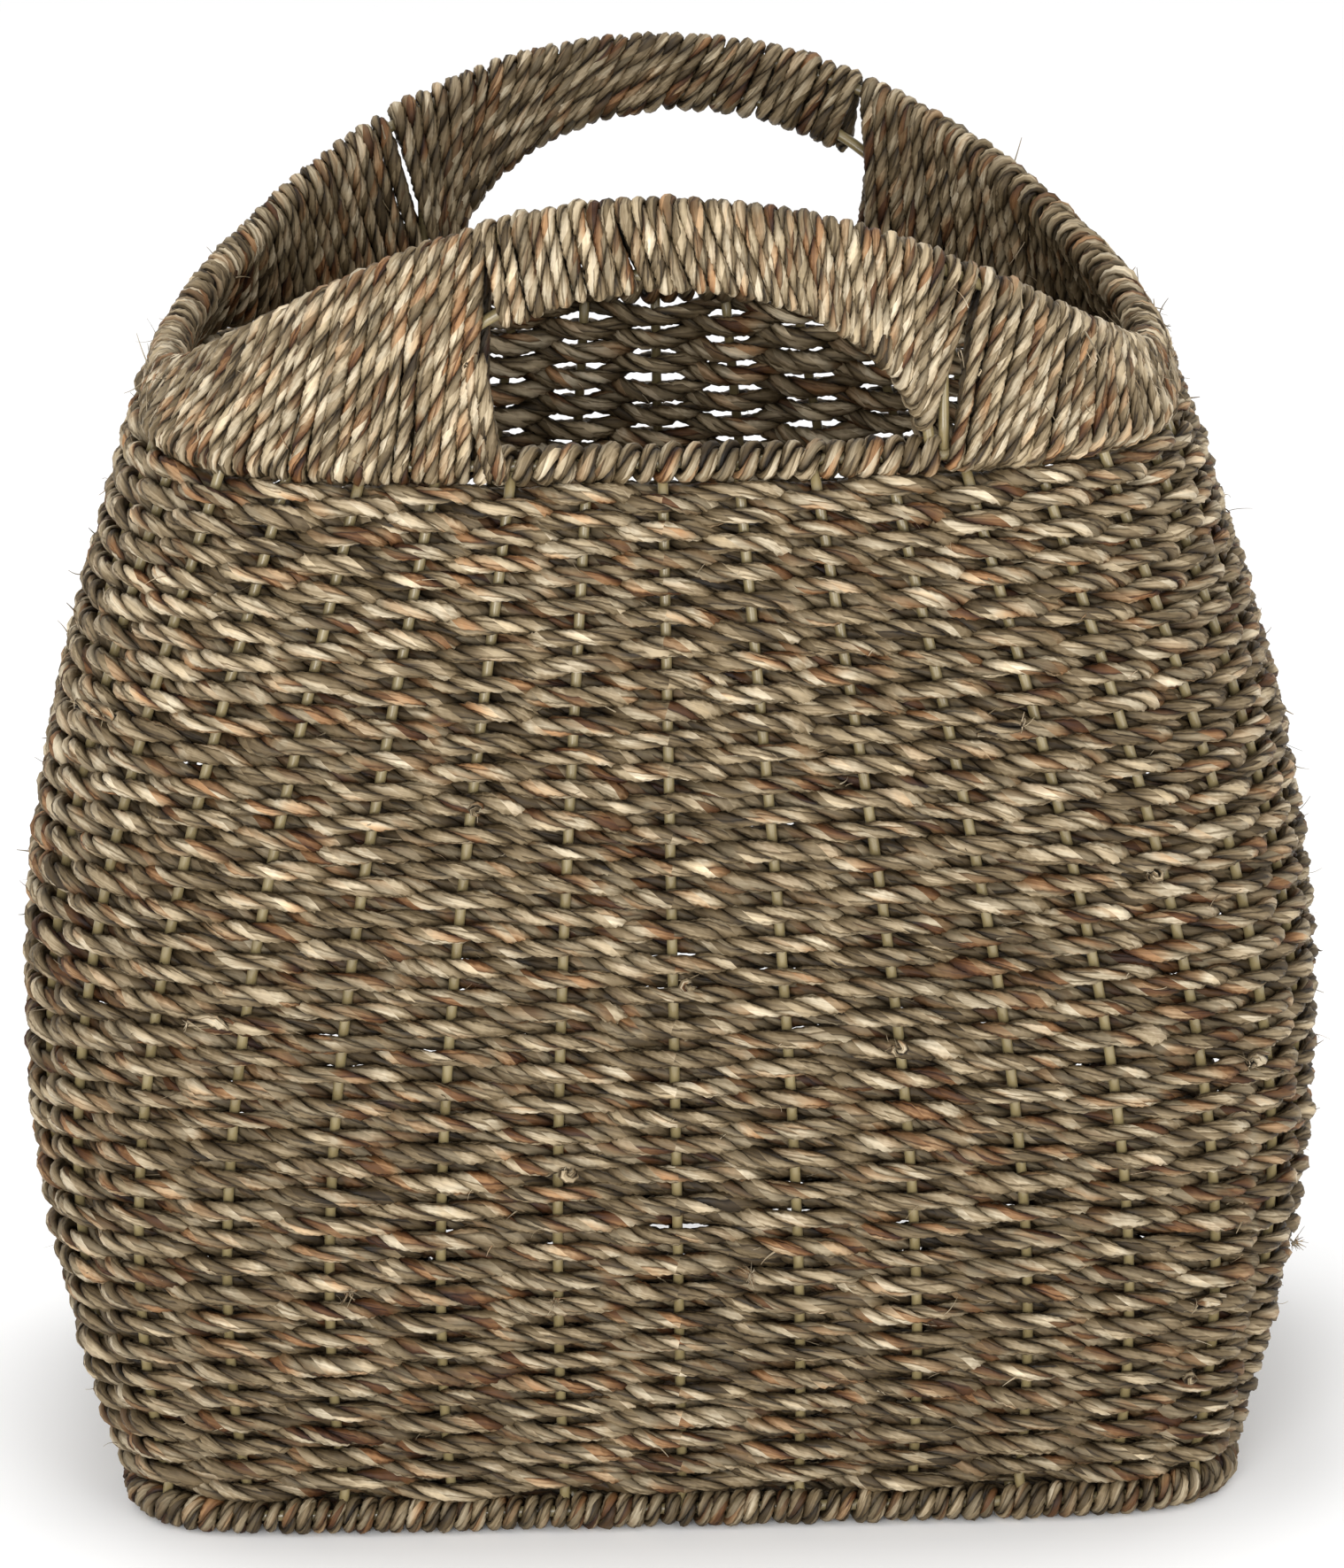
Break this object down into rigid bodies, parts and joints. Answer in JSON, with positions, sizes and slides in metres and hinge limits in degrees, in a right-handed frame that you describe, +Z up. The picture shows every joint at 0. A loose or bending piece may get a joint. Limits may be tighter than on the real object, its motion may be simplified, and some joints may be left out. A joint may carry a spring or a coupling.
{
  "type": "seagrass storage basket",
  "caption": "Bellied open-top storage basket of twisted seagrass cord woven over wire stakes, with a wrapped saddle-shaped rim and a hand hole in the front and the back.",
  "frame": {"origin": "on the floor under the middle of the basket", "axes": "+X along the long side, -Y towards the front hand hole, +Z up"},
  "size_m": [0.4024, 0.2408, 0.4251],
  "materials": {
    "frame_wire": "pale olive-beige powder coat, slightly glossy",
    "woven_seagrass": "two-ply twisted seagrass cord in plain weave, natural, matt with fibrous highlights",
    "wound_seagrass": "two-ply twisted seagrass cord wound side by side, natural, matt with fibrous highlights"
  },
  "bodies": {
    "root": {"base_ring_wire": "frame_wire", "base_cross_wires": "frame_wire", "front_stakes": "frame_wire", "right_end_stakes": "frame_wire", "back_stakes": "frame_wire", "left_end_stakes": "frame_wire", "top_ring_wire": "frame_wire", "rim_wire": "frame_wire", "front_arch_wire": "frame_wire", "back_arch_wire": "frame_wire", "front_hole_struts": "frame_wire", "back_hole_struts": "frame_wire", "base_weave": "woven_seagrass", "lower_wall_weave": "woven_seagrass", "middle_wall_weave": "woven_seagrass", "upper_wall_weave": "woven_seagrass", "base_border_wrap": "wound_seagrass", "front_left_shoulder_wrap": "wound_seagrass", "front_right_shoulder_wrap": "wound_seagrass", "back_left_shoulder_wrap": "wound_seagrass", "back_right_shoulder_wrap": "wound_seagrass", "left_end_wrap": "wound_seagrass", "right_end_wrap": "wound_seagrass", "front_grip_wrap": "wound_seagrass", "back_grip_wrap": "wound_seagrass", "front_sill_wrap": "wound_seagrass", "back_sill_wrap": "wound_seagrass"}
  },
  "joints": []
}
